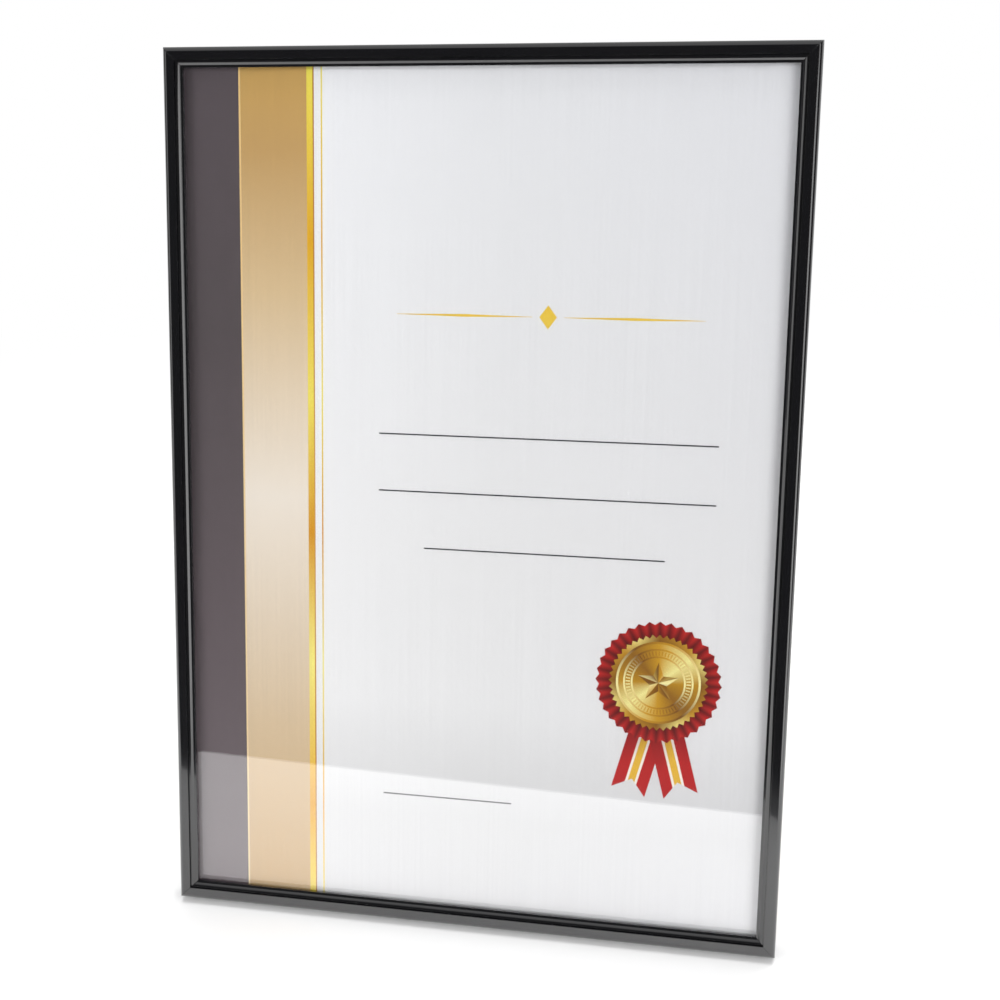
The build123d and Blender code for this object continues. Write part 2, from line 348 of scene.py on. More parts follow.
@dataclass(frozen=True)
class Ink(Finish):
    """Offset ink on coated card, which has the card's soft gloss."""

    roughness: float = 0.34
    ior: float = 1.5

    def lay(self, tree: NodeTree, shader: Node, *tones: Node) -> None:
        """Multiplies the ink's tones into one colour and wires that into the shader.

        Args:
            tree: the material's node tree.
            shader: its Principled shader.
            tones: the nodes that give the tones.
        """
        colour = tones[0].outputs[0]
        for tone in tones[1:]:
            both = add_node(
                tree,
                "Mix",
                {"Factor": 1.0, 6: colour, 7: tone},
                data_type="RGBA",
                blend_type="MULTIPLY",
            )
            colour = both.outputs[2]
        plug(tree, shader, {"Base Color": colour, "Roughness": self.roughness, "IOR": self.ior})


@dataclass(frozen=True)
class PrintedInk(Ink):
    """Ink in an upright band: a tone that changes up the sheet, with faint satin streaks.

    Attributes:
        up_sheet: colours from the foot of the sheet to its head.
        across: greys that multiply the colour between the two places of span, in mm.
        streak: how much the satin streaks lighten and darken the ink.
        streak_levels: the noise levels of a dark and of a light streak.
    """

    up_sheet: Stops = ((0.0, "#ffffff"), (1.0, "#ffffff"))
    across: Stops = ()
    span: tuple[float, float] = (-1.0, 1.0)
    streak: float = 0.03
    streak_levels: tuple[float, float] = (0.25, 0.75)
    streak_mm: float = 1.3
    streak_run_mm: float = 160.0
    height_mm: float = 420.0

    def shade(self, tree: NodeTree, shader: Node, mm: NodeSocket) -> None:
        """Wires the ramp up the sheet, lightened by the streaks, times the ramp across it.

        Args:
            tree: the material's node tree.
            shader: its Principled shader.
            mm: coordinates in millimetres on the place's axes.
        """
        apart = add_node(tree, "SeparateXYZ", {"Vector": mm}).outputs
        half = self.height_mm / 2
        up = add_node(tree, "MapRange", {"Value": apart["Y"], "From Min": -half, "From Max": half})
        ink = add_node(tree, "ValToRGB", {"Fac": up}, stops=self.up_sheet)
        thread = (1 / self.streak_mm, 1 / self.streak_run_mm, 1.0)
        drawn = add_node(tree, "Mapping", {"Vector": mm, "Scale": thread})
        satin = add_node(tree, "TexNoise", {"Vector": drawn, "Scale": 1.0, "Detail": 3.0})
        level = add_node(
            tree,
            "MapRange",
            {
                "Value": satin,
                "From Min": self.streak_levels[0],
                "From Max": self.streak_levels[1],
                "To Min": 1 - self.streak,
                "To Max": 1 + self.streak,
            },
        )
        tones = [add_node(tree, "HueSaturation", {"Color": ink, "Value": level})]
        if self.across:
            left, right = self.span
            side = add_node(
                tree, "MapRange", {"Value": apart["X"], "From Min": left, "From Max": right}
            )
            tones.append(add_node(tree, "ValToRGB", {"Fac": side}, stops=self.across))
        self.lay(tree, shader, *tones)


@dataclass(frozen=True)
class TurnedInk(Ink):
    """Ink whose tone runs round a middle point, so that it looks pleated or turned on a lathe.

    Attributes:
        round_it: colours of one lobe, from its start to its end.
        lobes: how many times the colours repeat in a full turn.
        inner_mm, outer_mm: where the shade towards the middle ends and starts.
        inner_shade: the grey that multiplies the colour at the inner place.
    """

    roughness: float = 0.32
    round_it: Stops = ((0.0, "#000000"), (1.0, "#ffffff"))
    lobes: int = 1
    inner_mm: float = 0.0
    outer_mm: float = 1.0
    inner_shade: str = "#ffffff"

    def shade(self, tree: NodeTree, shader: Node, mm: NodeSocket) -> None:
        """Wires a ramp by the angle round the middle, darkened by a ramp along the radius.

        Args:
            tree: the material's node tree.
            shader: its Principled shader.
            mm: coordinates in millimetres on the place's axes.
        """
        apart = add_node(tree, "SeparateXYZ", {"Vector": mm}).outputs
        angle = add_node(tree, "Math", {0: apart["Y"], 1: apart["X"]}, operation="ARCTAN2")
        turns = add_node(
            tree,
            "Math",
            {0: angle, 1: self.lobes / math.tau, 2: float(self.lobes)},
            operation="MULTIPLY_ADD",
        )
        lobe = add_node(tree, "Math", {0: turns}, operation="FRACT")
        ink = add_node(tree, "ValToRGB", {"Fac": lobe}, stops=self.round_it)
        radius = add_node(tree, "VectorMath", {0: mm}, operation="LENGTH").outputs["Value"]
        inward = add_node(
            tree,
            "MapRange",
            {"Value": radius, "From Min": self.inner_mm, "From Max": self.outer_mm},
        )
        shades = ((0.0, self.inner_shade), (1.0, "#ffffff"))
        self.lay(tree, shader, ink, add_node(tree, "ValToRGB", {"Fac": inward}, shades))


@dataclass(frozen=True)
class StripedRibbon(Ink):
    """Ink of a printed ribbon: red, with a gold stripe between two white ones down its middle.

    Attributes:
        stripes: where each stripe starts across the ribbon's width, and its colour.
        fold: greys that multiply the stripes, from the ribbon's end to its knot.
    """

    stripes: Stops = (
        (0.0, "#b81c1c"),
        (0.33, "#f4efe6"),
        (0.40, "#e2b53c"),
        (0.60, "#f4efe6"),
        (0.67, "#b81c1c"),
    )
    fold: Stops = ((0.25, "#ffffff"), (0.62, "#c9c2c2"), (0.85, "#7a6c6c"))

    def shade(self, tree: NodeTree, shader: Node, mm: NodeSocket) -> None:
        """Wires stripes across the ribbon's own width, darker towards the knot.

        Args:
            tree: the material's node tree.
            shader: its Principled shader.
            mm: coordinates in millimetres, which a pattern on the ribbon's own map doesn't need.
        """
        strip = add_node(tree, "UVMap")
        apart = add_node(tree, "SeparateXYZ", {"Vector": strip}).outputs
        stripes = add_node(tree, "ValToRGB", {"Fac": apart["X"]}, stops=self.stripes)
        stripes.color_ramp.interpolation = "CONSTANT"
        fold = add_node(tree, "ValToRGB", {"Fac": apart["Y"]}, stops=self.fold)
        self.lay(tree, shader, stripes, fold)


@dataclass(frozen=True)
class RawFibreboard(Finish):
    """Sanded MDF: wood fibre pressed flat, which leaves an even, matt tan with a fine hairy fleck.

    The hairs are drawn about twice as coarse as real fibre, because finer ones don't show.

    Attributes:
        cloud_share: how much the clouds count beside the flecks and the hairs.
        tone_levels: the sums of these noises that give the dark and the pale tone.
        shift_mm: how far the pattern is moved, so that two boards differ.
    """

    pale: str = "#ccb089"
    mid: str = "#b8986d"
    dark: str = "#967850"
    fleck_mm: float = 0.7
    hair_mm: float = 0.45
    hair_run_mm: float = 3.2
    hair_turns_deg: tuple[float, ...] = (12.0, 68.0, 131.0)
    hair_depth_mm: float = 0.05
    hair_bump: float = 0.18
    cloud_mm: float = 70.0
    cloud_share: float = 0.5
    tone_levels: tuple[float, float] = (1.75, 2.75)
    shift_mm: float = 0.0
    roughness: float = 0.82
    specular: float = 0.3

    def shade(self, tree: NodeTree, shader: Node, mm: NodeSocket) -> None:
        """Wires crossed hairs, flecks and faint clouds for the colour, and hairs for the bump.

        Args:
            tree: the material's node tree.
            shader: its Principled shader.
            mm: coordinates in millimetres on the place's axes.
        """
        shift = (self.shift_mm, self.shift_mm, 0)
        here = add_node(tree, "Mapping", {"Vector": mm, "Location": shift})
        clouds = add_node(
            tree, "TexNoise", {"Vector": here, "Scale": 1 / self.cloud_mm, "Detail": 2.0}
        )
        fibre = add_node(
            tree,
            "TexNoise",
            {"Vector": here, "Scale": 1 / self.fleck_mm, "Detail": 4.0, "Roughness": 0.6},
        )
        for turn in self.hair_turns_deg:
            drawn = add_node(
                tree,
                "Mapping",
                {
                    "Vector": here,
                    "Rotation": (0, 0, math.radians(turn)),
                    "Scale": (self.hair_run_mm, self.hair_mm, self.hair_mm),
                },
                vector_type="TEXTURE",
            )
            hairs = add_node(tree, "TexNoise", {"Vector": drawn, "Scale": 1.0, "Detail": 2.0})
            fibre = add_node(tree, "Math", {0: fibre, 1: hairs}, operation="ADD")
        spread = add_node(
            tree, "Math", {0: clouds, 1: self.cloud_share, 2: fibre}, operation="MULTIPLY_ADD"
        )
        low, high = self.tone_levels
        level = add_node(tree, "MapRange", {"Value": spread, "From Min": low, "From Max": high})
        tones = ((0.0, self.dark), (0.5, self.mid), (1.0, self.pale))
        colour = add_node(tree, "ValToRGB", {"Fac": level}, stops=tones)
        bump = add_node(
            tree,
            "Bump",
            {"Height": fibre, "Strength": self.hair_bump, "Distance": self.hair_depth_mm * MM},
        )
        plug(
            tree,
            shader,
            {
                "Base Color": colour,
                "Normal": bump,
                "Roughness": self.roughness,
                "Specular IOR Level": self.specular,
            },
        )


@dataclass(frozen=True)
class PlatedSteel(Finish):
    """Plated steel: a metal with cloudy plating and fine scratches from tumbling in the barrel.

    Attributes:
        dull_at, bright_at: the noise levels of the dull and the bright plating.
        smooth, rough: the roughness of the bright and of the dull plating.
    """

    bright: str = "#c6cbd0"
    dull: str = "#b1b7bd"
    cloud_mm: float = 2.2
    dull_at: float = 0.32
    bright_at: float = 0.68
    scratch_mm: float = 0.25
    scratch_run_mm: float = 7.0
    scratch_turn_deg: float = 24.0
    scratch_depth_mm: float = 0.02
    scratch_bump: float = 0.08
    smooth: float = 0.24
    rough: float = 0.33

    def shade(self, tree: NodeTree, shader: Node, mm: NodeSocket) -> None:
        """Wires clouds for the colour and the roughness, and scratches for the bump.

        Args:
            tree: the material's node tree.
            shader: its Principled shader.
            mm: coordinates in millimetres on the place's axes.
        """
        clouds = add_node(
            tree,
            "TexNoise",
            {"Vector": mm, "Scale": 1 / self.cloud_mm, "Detail": 4.0, "Roughness": 0.6},
        )
        tones = ((self.dull_at, self.dull), (self.bright_at, self.bright))
        colour = add_node(tree, "ValToRGB", {"Fac": clouds}, stops=tones)
        sheen = add_node(
            tree,
            "MapRange",
            {
                "Value": clouds,
                "From Min": NOISE_LOW,
                "From Max": NOISE_HIGH,
                "To Min": self.rough,
                "To Max": self.smooth,
            },
        )
        drawn = add_node(
            tree,
            "Mapping",
            {
                "Vector": mm,
                "Rotation": (0, 0, math.radians(self.scratch_turn_deg)),
                "Scale": (self.scratch_run_mm, self.scratch_mm, self.scratch_mm),
            },
            vector_type="TEXTURE",
        )
        lines = add_node(tree, "TexNoise", {"Vector": drawn, "Scale": 1.0, "Detail": 2.0})
        depth = self.scratch_depth_mm * MM
        bump = add_node(
            tree, "Bump", {"Height": lines, "Strength": self.scratch_bump, "Distance": depth}
        )
        plug(
            tree,
            shader,
            {"Base Color": colour, "Roughness": sheen, "Normal": bump, "Metallic": 1.0},
        )


# Silver-white tint on coated card, nearly the white of the card. Painted shade: greyer towards its foot,
# which offsets the table's reflection in the glass there, and darker towards the right rail.
FIELD_WHITE = PrintedInk(
    "coated_card_silver_white",
    up_sheet=(
        (0.0, "#e0e0e2"),
        (0.12, "#dfdfe0"),
        (0.26, "#f0f0f1"),
        (0.45, "#f1f1f2"),
        (1.0, "#f4f5f8"),
    ),
    # Painted shade: the card darkens from the field's left edge towards the right rail.
    across=((0.0, "#ffffff"), (0.384, "#f6f6f6"), (1.0, "#f0f0f1")),
    span=(-76.4, 148.5),
    streak=0.022,
)
# Taupe ink: a flat warm grey that pales a little towards the foot.
TAUPE = PrintedInk(
    "taupe_ink",
    up_sheet=((0.0, "#70656a"), (0.35, "#675d61"), (0.7, "#5a5255"), (1.0, "#5d5459")),
    streak=0.02,
)
# Pale gold ink: a thin bright edge between two bands.
PALE_EDGE = PrintedInk("pale_gold_edge_ink", up_sheet=((0.0, "#ecd9b0"), (1.0, "#f0cf8c")))
# Champagne ink: pale at mid-height and golden at both ends, as satin in the light.
CHAMPAGNE = PrintedInk(
    "champagne_satin_ink",
    up_sheet=(
        (0.0, "#c8a877"),
        (0.22, "#d8c2a2"),
        (0.5, "#efe6da"),
        (0.74, "#dcc39a"),
        (0.9, "#c9a56b"),
        (1.0, "#cda75f"),
    ),
)
# Bright gold ink: printed from light to deep and back, so that it passes for foil.
BRIGHT_GOLD = PrintedInk(
    "bright_gold_ink",
    up_sheet=(
        (0.0, "#f3df58"),
        (0.12, "#e3ab22"),
        (0.3, "#f6ec86"),
        (0.46, "#d99a1e"),
        (0.62, "#f4e566"),
        (0.8, "#e6b020"),
        (1.0, "#f5ea5f"),
    ),
    streak=0.02,
)
# Bronze ink: a thin dark line that sets off the gold.
BRONZE = PrintedInk("bronze_ink", up_sheet=((0.0, "#b5742a"), (0.5, "#d3a04e"), (1.0, "#a86420")))
# Charcoal ink: a dense dark line, slightly uneven as on a press.
CHARCOAL = PrintedInk("charcoal_ink", up_sheet=((0.0, "#3b3b3f"), (1.0, "#3b3b3f")), streak=0.05)

# Sanded fibreboard: the backboard and the strut are cut from parts of it that look alike, but
# whose flecks fall elsewhere.
BOARD = RawFibreboard("sanded_fibreboard")
STRUT_BOARD = RawFibreboard("sanded_fibreboard_strut", shift_mm=140.0)
# Zinc on stamped steel: a cool, slightly cloudy shine.
ZINC = PlatedSteel("zinc_plated_steel")
# Nickel on rivets: warmer and smoother than the zinc.
RIVET_NICKEL = PlatedSteel(
    "nickel_plated_rivet_steel", bright="#d3d1cb", dull="#c0bdb6", smooth=0.16, rough=0.26
)
# Nickel on drawn wire: the warmest and smoothest of the metals.
WIRE_NICKEL = PlatedSteel(
    "nickel_plated_wire", bright="#d8d4cb", dull="#bdb8ae", smooth=0.10, rough=0.2
)
# Rolled nail strip: bright steel with dull patches.
NAIL_STEEL = PlatedSteel("bright_nail_steel", dull="#7d7f82")


@contextmanager
def editing(piece: Object) -> Iterator[None]:
    """Opens one piece in edit mode with all of it selected, and closes it again.

    Args:
        piece: the object to edit.
    """
    pick(piece)
    bpy.ops.object.mode_set(mode="EDIT")
    bpy.ops.mesh.select_all(action="SELECT")
    yield
    bpy.ops.object.mode_set(mode="OBJECT")


def pick(piece: Object) -> None:
    """Makes one object the only selected one, and the active one.

    Args:
        piece: the object.
    """
    bpy.ops.object.select_all(action="DESELECT")
    piece.select_set(True)
    bpy.context.view_layer.objects.active = piece


def select(piece: Object, element: Element, test: Callable[[BMVert | BMFace], bool]) -> None:
    """Selects, in edit mode, the vertices or the faces that pass a test.

    Args:
        piece: the object in edit mode.
        element: vertices or faces.
        test: says whether one of them is wanted.
    """
    bpy.ops.mesh.select_mode(type=element.value)
    bpy.ops.mesh.select_all(action="DESELECT")
    mesh = bmesh.from_edit_mesh(piece.data)
    for part in mesh.verts if element is Element.VERTEX else mesh.faces:
        part.select_set(test(part))
    mesh.select_flush_mode()
    bmesh.update_edit_mesh(piece.data)


def extrude(height: float) -> None:
    """Extrudes what is selected in edit mode towards the viewer."""
    bpy.ops.mesh.extrude_region_move(TRANSFORM_OT_translate={"value": (0, 0, height)})


def turn_outwards() -> None:
    """Selects all of the piece in edit mode and turns its faces outwards."""
    bpy.ops.mesh.select_all(action="SELECT")
    bpy.ops.mesh.normals_make_consistent(inside=False)


def new_piece(name: str) -> Object:
    """Names the primitive that was just added.

    Args:
        name: the name of the object and of its mesh.

    Returns:
        The object.
    """
    piece = bpy.context.object
    piece.name = name
    piece.data.name = name
    return piece


def modify(piece: Object, kind: str, **settings: object) -> None:
    """Adds a modifier with its settings and applies it.

    Args:
        piece: the object that it changes.
        kind: the modifier's type.
        settings: the modifier's own properties.
    """
    pick(piece)
    modifier = piece.modifiers.new(kind.lower(), kind)
    for name, value in settings.items():
        setattr(modifier, name, value)
    bpy.ops.object.modifier_apply(modifier=modifier.name)


def settle(piece: Object, place: Place, *materials: Material) -> None:
    """Puts a print that was drawn flat in millimetres on the sheet, and lets it ride there.

    Args:
        piece: the drawn object.
        place: its spot on the sheet.
        materials: its materials, in the order of its faces' numbers.
    """
    piece.data.transform(place.matrix())
    for material in materials:
        piece.data.materials.append(material)
    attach(piece, BODY_OF["certificate_sheet"])
    LOG.info("%s: %d faces", piece.name, len(piece.data.polygons))


def dress(node: str, material: Material) -> None:
    """Gives a CAD node, as it is, its material.

    Args:
        node: the CAD node's name.
        material: its material.
    """
    mesh = frame["nodes"][node].data
    mesh.materials.clear()
    mesh.materials.append(material)
    LOG.info("%s: %d faces", node, len(mesh.polygons))


def eased_copy(node: str, material: Material, ease_mm: float) -> Object:
    """Takes over a CAD node with a copy whose sharp edges are slightly rounded, as made ones are.

    Args:
        node: the CAD node's name.
        material: the copy's material.
        ease_mm: width of the rounded edges, in millimetres, or nothing for shading alone.

    Returns:
        The copy, which rides where the node did.
    """
    piece = bpy.data.objects.new(f"{node}_finished", frame["nodes"][node].data.copy())
    bpy.context.scene.collection.objects.link(piece)
    with editing(piece):
        bpy.ops.mesh.customdata_custom_splitnormals_clear()
        bpy.ops.mesh.remove_doubles(threshold=MERGE_MM * MM)
        bpy.ops.mesh.dissolve_limited(angle_limit=math.radians(FLAT_DEG))
    if ease_mm:
        modify(
            piece,
            "BEVEL",
            width=ease_mm * MM,
            segments=2,
            limit_method="ANGLE",
            angle_limit=math.radians(SHARP_DEG),
            use_clamp_overlap=True,
        )
    pick(piece)
    bpy.ops.object.shade_smooth_by_angle(angle=math.radians(SMOOTH_DEG))
    modify(piece, "WEIGHTED_NORMAL", mode="FACE_AREA", weight=100, keep_sharp=True)
    piece.data.materials.clear()
    piece.data.materials.append(material)
    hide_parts(node)
    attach(piece, BODY_OF[node])
    LOG.info("%s: %d faces", piece.name, len(piece.data.polygons))
    return piece


@dataclass
class Rivets:
    """A group of rivets that takes over a CAD node, with heads that swell in the middle.

    Attributes:
        head_area: the least area of a head's flat top, in square millimetres.
        crown_steps: width and rise of each step up the crown, in millimetres.
        rounds: how often the surface is subdivided.
    """

    node: str
    ease_mm: float = 0.12
    head_area: float = 14.0
    crown_steps: tuple[tuple[float, float], ...] = ((0.7, 0.16), (0.8, 0.08))
    rounds: int = 2

    def build(self, place: Place) -> None:
        """Crowns the heads and rounds the many-sided shanks and rims.

        Args:
            place: the spot whose axes the finish follows.
        """
        piece = eased_copy(self.node, RIVET_NICKEL.material(place), self.ease_mm)
        with editing(piece):
            least = self.head_area * MM * MM
            select(piece, Element.FACE, lambda face: face.calc_area() > least)
            for width, rise in self.crown_steps:
                bpy.ops.mesh.inset(thickness=width * MM, depth=rise * MM)
        modify(piece, "SUBSURF", levels=self.rounds, render_levels=self.rounds)


@dataclass
class Moulding:
    """The four mitred rails and the V-nails that hold their corners."""

    place: Place
    ease_mm: float = 0.14

    def build(self) -> None:
        """Eases the rails' edges, so that each mitre shows as a fine seam."""
        runs = {"top": Run.ACROSS, "bottom": Run.ACROSS, "left": Run.UPRIGHT, "right": Run.UPRIGHT}
        for side, run in runs.items():
            finish = BlackPolystyrene(f"extruded_black_polystyrene_{run.value}", run=run)
            eased_copy(f"{side}_rail", finish.material(self.place), self.ease_mm)
        dress("corner_v_nails", NAIL_STEEL.material(self.place))


@dataclass
class Glazing:
    """The pane of glass."""

    place: Place

    def build(self) -> None:
        """Gives the pane its glass."""
        dress("glazing", FloatGlass("clear_float_glass").material(self.place))


@dataclass(frozen=True)
class Band:
    """A stripe of the sheet's print, the full height of the sheet."""

    ink: PrintedInk
    width_mm: float


@dataclass
class PrintedSheet:
    """The card behind the glass, printed with upright bands at its left and bare to the right.

    Attributes:
        rear: the back of the card, in millimetres towards the viewer from the CAD sheet's middle.
        lip: how far the frame's lip covers the card's edge.
    """

    place: Place
    width: float = 297.0
    height: float = 420.0
    thickness: float = 0.15
    rear: float = -0.175
    lip: float = 4.0
    bands: tuple[Band, ...] = (
        Band(TAUPE, 30.5),
        Band(PALE_EDGE, 0.9),
        Band(CHAMPAGNE, 33.0),
        Band(BRIGHT_GOLD, 3.0),
        Band(BRONZE, 0.6),
        Band(FIELD_WHITE, 3.4),
        Band(BRIGHT_GOLD, 0.7),
    )

    @property
    def front(self) -> float:
        """The printed face, in millimetres towards the viewer from the CAD sheet's middle."""
        return self.rear + self.thickness

    @property
    def edges(self) -> list[float]:
        """Where each band ends, from left to right of the sheet's middle line."""
        return list(accumulate((band.width_mm for band in self.bands), initial=-self.width / 2))[1:]

    @property
    def field_middle(self) -> float:
        """The middle line of the bare field, from the last band to the lip at the right."""
        return (self.edges[-1] + self.width / 2 - self.lip) / 2

    def build(self) -> None:
        """Cuts a thin card along the bands' edges and inks its front."""
        bpy.ops.mesh.primitive_cube_add(size=1)
        sheet = new_piece("printed_certificate_sheet")
        with editing(sheet):
            bpy.ops.transform.resize(value=(self.width, self.height, self.thickness))
            bpy.ops.transform.translate(value=(0, 0, self.rear + self.thickness / 2))
            for edge in self.edges:
                bpy.ops.mesh.select_all(action="SELECT")
                bpy.ops.mesh.bisect(plane_co=(edge, 0, 0), plane_no=(1, 0, 0))
        columns = [band.ink for band in self.bands] + [FIELD_WHITE]
        inks = list(dict.fromkeys([FIELD_WHITE] + columns))
        for face in sheet.data.polygons:
            if face.normal.z > FACING:
                column = sum(edge < face.center.x for edge in self.edges)
                face.material_index = inks.index(columns[column])
        settle(sheet, self.place, *[ink.material(self.place) for ink in inks])
        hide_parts("certificate_sheet")


@dataclass
class RuledField:
    """Blank writing lines under a small gold divider, printed on the bare field.

    Attributes:
        centre_x: the field's middle line.
        divider_tip: the divider's thickness at its ends, as a share of that at its middle.
        diamond_stretch, diamond_rim: the diamond's height and its rim, as shares of its radius.
        date_line: middle and length of the short line at the foot.
    """

    place: Place
    centre_x: float
    front: float
    film: float = 0.02
    divider_y: float = 92.0
    divider_length: float = 66.0
    divider_height: float = 1.3
    divider_tip: float = 0.12
    diamond: float = 4.2
    diamond_stretch: float = 1.35
    diamond_rim: float = 0.32
    diamond_gap: float = 7.5
    line_ys: tuple[float, ...] = (34.0, 6.0, -22.0)
    line_lengths: tuple[float, ...] = (164.0, 164.0, 118.0)
    line_height: float = 0.7
    date_line: tuple[float, float, float] = (-46.0, -150.0, 66.0)

    def build(self) -> None:
        """Prints the lines and the divider."""
        rows = [(0.0, y, length) for y, length in zip(self.line_ys, self.line_lengths)]
        for number, (x, y, length) in enumerate(rows + [self.date_line], start=1):
            self.strip(f"ruled_line_{number}", (x, y), (length, self.line_height), 1.0, CHARCOAL)
        half = self.diamond_gap + self.divider_length / 2
        size = (self.divider_length, self.divider_height)
        for name, x in (("left", -half), ("right", half)):
            at = (x, self.divider_y)
            self.strip(f"divider_{name}", at, size, self.divider_tip, BRIGHT_GOLD)
        bpy.ops.mesh.primitive_circle_add(vertices=4, radius=self.diamond, fill_type="NGON")
        lozenge = new_piece("divider_diamond")
        with editing(lozenge):
            bpy.ops.transform.resize(value=(1.0, self.diamond_stretch, 1.0))
            bpy.ops.mesh.inset(thickness=self.diamond * self.diamond_rim)
            bpy.ops.mesh.select_all(action="SELECT")
            extrude(self.film)
        spot = self.place.moved(self.centre_x, self.divider_y, self.front + self.film / 2)
        settle(lozenge, spot, BRIGHT_GOLD.material(self.place))

    def strip(
        self,
        name: str,
        at: tuple[float, float],
        size: tuple[float, float],
        tip: float,
        ink: PrintedInk,
    ) -> None:
        """Prints one straight line.

        Args:
            name: the piece's name.
            at: its middle, from the field's middle line and up the sheet.
            size: its length, and its thickness at the middle.
            tip: its thickness at the ends, as a share of that at the middle.
            ink: its ink.
        """
        length, height = size
        bpy.ops.mesh.primitive_cube_add(size=1)
        line = new_piece(name)
        with editing(line):
            bpy.ops.transform.resize(value=(length, height, self.film))
            bpy.ops.mesh.bisect(plane_co=(0, 0, 0), plane_no=(1, 0, 0))
            select(line, Element.VERTEX, lambda point: abs(point.co.x) > ON_LINE_MM)
            bpy.ops.transform.resize(value=(1.0, tip, 1.0), center_override=(0, 0, 0))
        spot = self.place.moved(self.centre_x + at[0], at[1], self.front + self.film)
        settle(line, spot, ink.material(self.place))


@dataclass
class AwardRosette:
    """A pleated ribbon rosette with a notched gold seal, printed low on the field.

    Attributes:
        centre: its middle on the sheet.
        film: how thick a layer of print is.
        tail_lifts, pleat_lift, seal_lift, medal_lift, star_lift: heights of the layers, in films.
        tuck: how far under the layer above it a shade begins, as a share of that layer's radius.
        pleat_root: the pleats' inner radius, as a share of the outer one.
        pleat_pinch, seal_pinch, star_waist: radius of every other point, as a share of the rest.
        medal_steps: widths of the medal's rings and flats, from its rim inwards.
        ring_widths: the least and the greatest width of a step that is a ring.
        reed_taper: length and width of a bar's top, as shares of its foot.
    """

    place: Place
    front: float
    centre: tuple[float, float] = (92.0, -82.0)
    film: float = 0.02
    tuck: float = 0.9
    tail_width: float = 17.0
    tail_length: float = 50.0
    tail_notch: float = 7.0
    tail_drop: float = 8.0
    tail_splay_deg: float = 15.0
    tail_lifts: tuple[float, float] = (0.2, 0.8)
    pleat_radius: float = 30.5
    pleat_root: float = 0.62
    pleat_pinch: float = 0.945
    pleat_count: int = 36
    pleat_lift: float = 2.0
    seal_radius: float = 24.0
    seal_pinch: float = 0.93
    seal_notches: int = 44
    seal_lift: float = 4.5
    medal_radius: float = 20.5
    medal_sides: int = 96
    medal_steps: tuple[float, ...] = (1.1, 2.4, 0.9, 2.8, 0.9)
    ring_widths: tuple[float, float] = (0.5, 1.5)
    medal_lift: float = 5.6
    reed_count: int = 60
    reed_length: float = 2.2
    reed_width: float = 0.6
    reed_taper: tuple[float, float] = (0.85, 0.5)
    reed_circle: float = 14.7
    star_radius: float = 10.2
    star_points: int = 5
    star_waist: float = 0.42
    star_lift: float = 6.2

    def build(self) -> None:
        """Prints the tails, pleats, seal, medal, reeding and star, each over the last."""
        # Red ink, dark in each fold: the ring looks pleated.
        pleat_ink = TurnedInk(
            "pleated_red_ink",
            round_it=((0.0, "#7c1012"), (0.45, "#d32b27"), (0.7, "#b81c1c"), (1.0, "#7c1012")),
            lobes=self.pleat_count,
            inner_mm=self.seal_radius * self.tuck,
            outer_mm=self.pleat_radius,
            inner_shade="#8a7c7c",
        )
        # Gold ink with four lights round it: the seal looks stamped from foil.
        rim_gold = TurnedInk(
            "notched_gold_ink",
            round_it=((0.0, "#9a6a17"), (0.3, "#f3e58a"), (0.55, "#d1a02c"), (1.0, "#9a6a17")),
            lobes=4,
            inner_mm=self.medal_radius * self.tuck,
            outer_mm=self.seal_radius,
            inner_shade="#b9a58a",
        )
        # Gold ink with two broad lights: the medal's flats look turned.
        disc_gold = TurnedInk(
            "turned_gold_ink",
            round_it=(
                (0.0, "#b8891a"),
                (0.22, "#eee69a"),
                (0.5, "#c6961f"),
                (0.74, "#8f6116"),
                (1.0, "#b8891a"),
            ),
            lobes=2,
            outer_mm=self.star_radius,
        )
        # Gold ink with harder lights: the medal's rings look raised.
        ring_gold = TurnedInk(
            "ringed_gold_ink",
            round_it=((0.0, "#f6efad"), (0.4, "#c8951f"), (0.7, "#7a4c14"), (1.0, "#f6efad")),
            lobes=2,
        )
        for side, sign, lift in zip(("left", "right"), (-1, 1), self.tail_lifts):
            self.tail(side, sign, self.layer(lift))
        self.pleats(self.layer(self.pleat_lift), pleat_ink)
        self.seal(self.layer(self.seal_lift), rim_gold)
        self.medal(self.layer(self.medal_lift), disc_gold, ring_gold)
        self.reeding(self.layer(self.star_lift), ring_gold)
        self.star(self.layer(self.star_lift), rim_gold, ring_gold)

    def layer(self, films: float) -> Place:
        """The rosette's middle, this many films above the sheet."""
        return self.place.moved(*self.centre, self.front + films * self.film)

    @staticmethod
    def pinch(piece: Object, pairs: int, share: float, beyond: float = ON_LINE_MM) -> None:
        """Draws every other point of a ring, counted from its top, towards the middle.

        Args:
            piece: the object in edit mode.
            pairs: how many pairs of points the ring has.
            share: how far out the points stay.
            beyond: the radius within which no point moves.
        """
        select(
            piece,
            Element.VERTEX,
            lambda point: point.co.length > beyond and AwardRosette.odd(point.co, pairs),
        )
        bpy.ops.transform.resize(value=(share, share, 1), center_override=(0, 0, 0))

    @staticmethod
    def odd(at: Vector, pairs: int) -> bool:
        """Says whether a point of a ring, counted from its top, is an odd one."""
        return round((math.atan2(at.y, at.x) - math.pi / 2) * pairs / math.pi) % 2 == 1

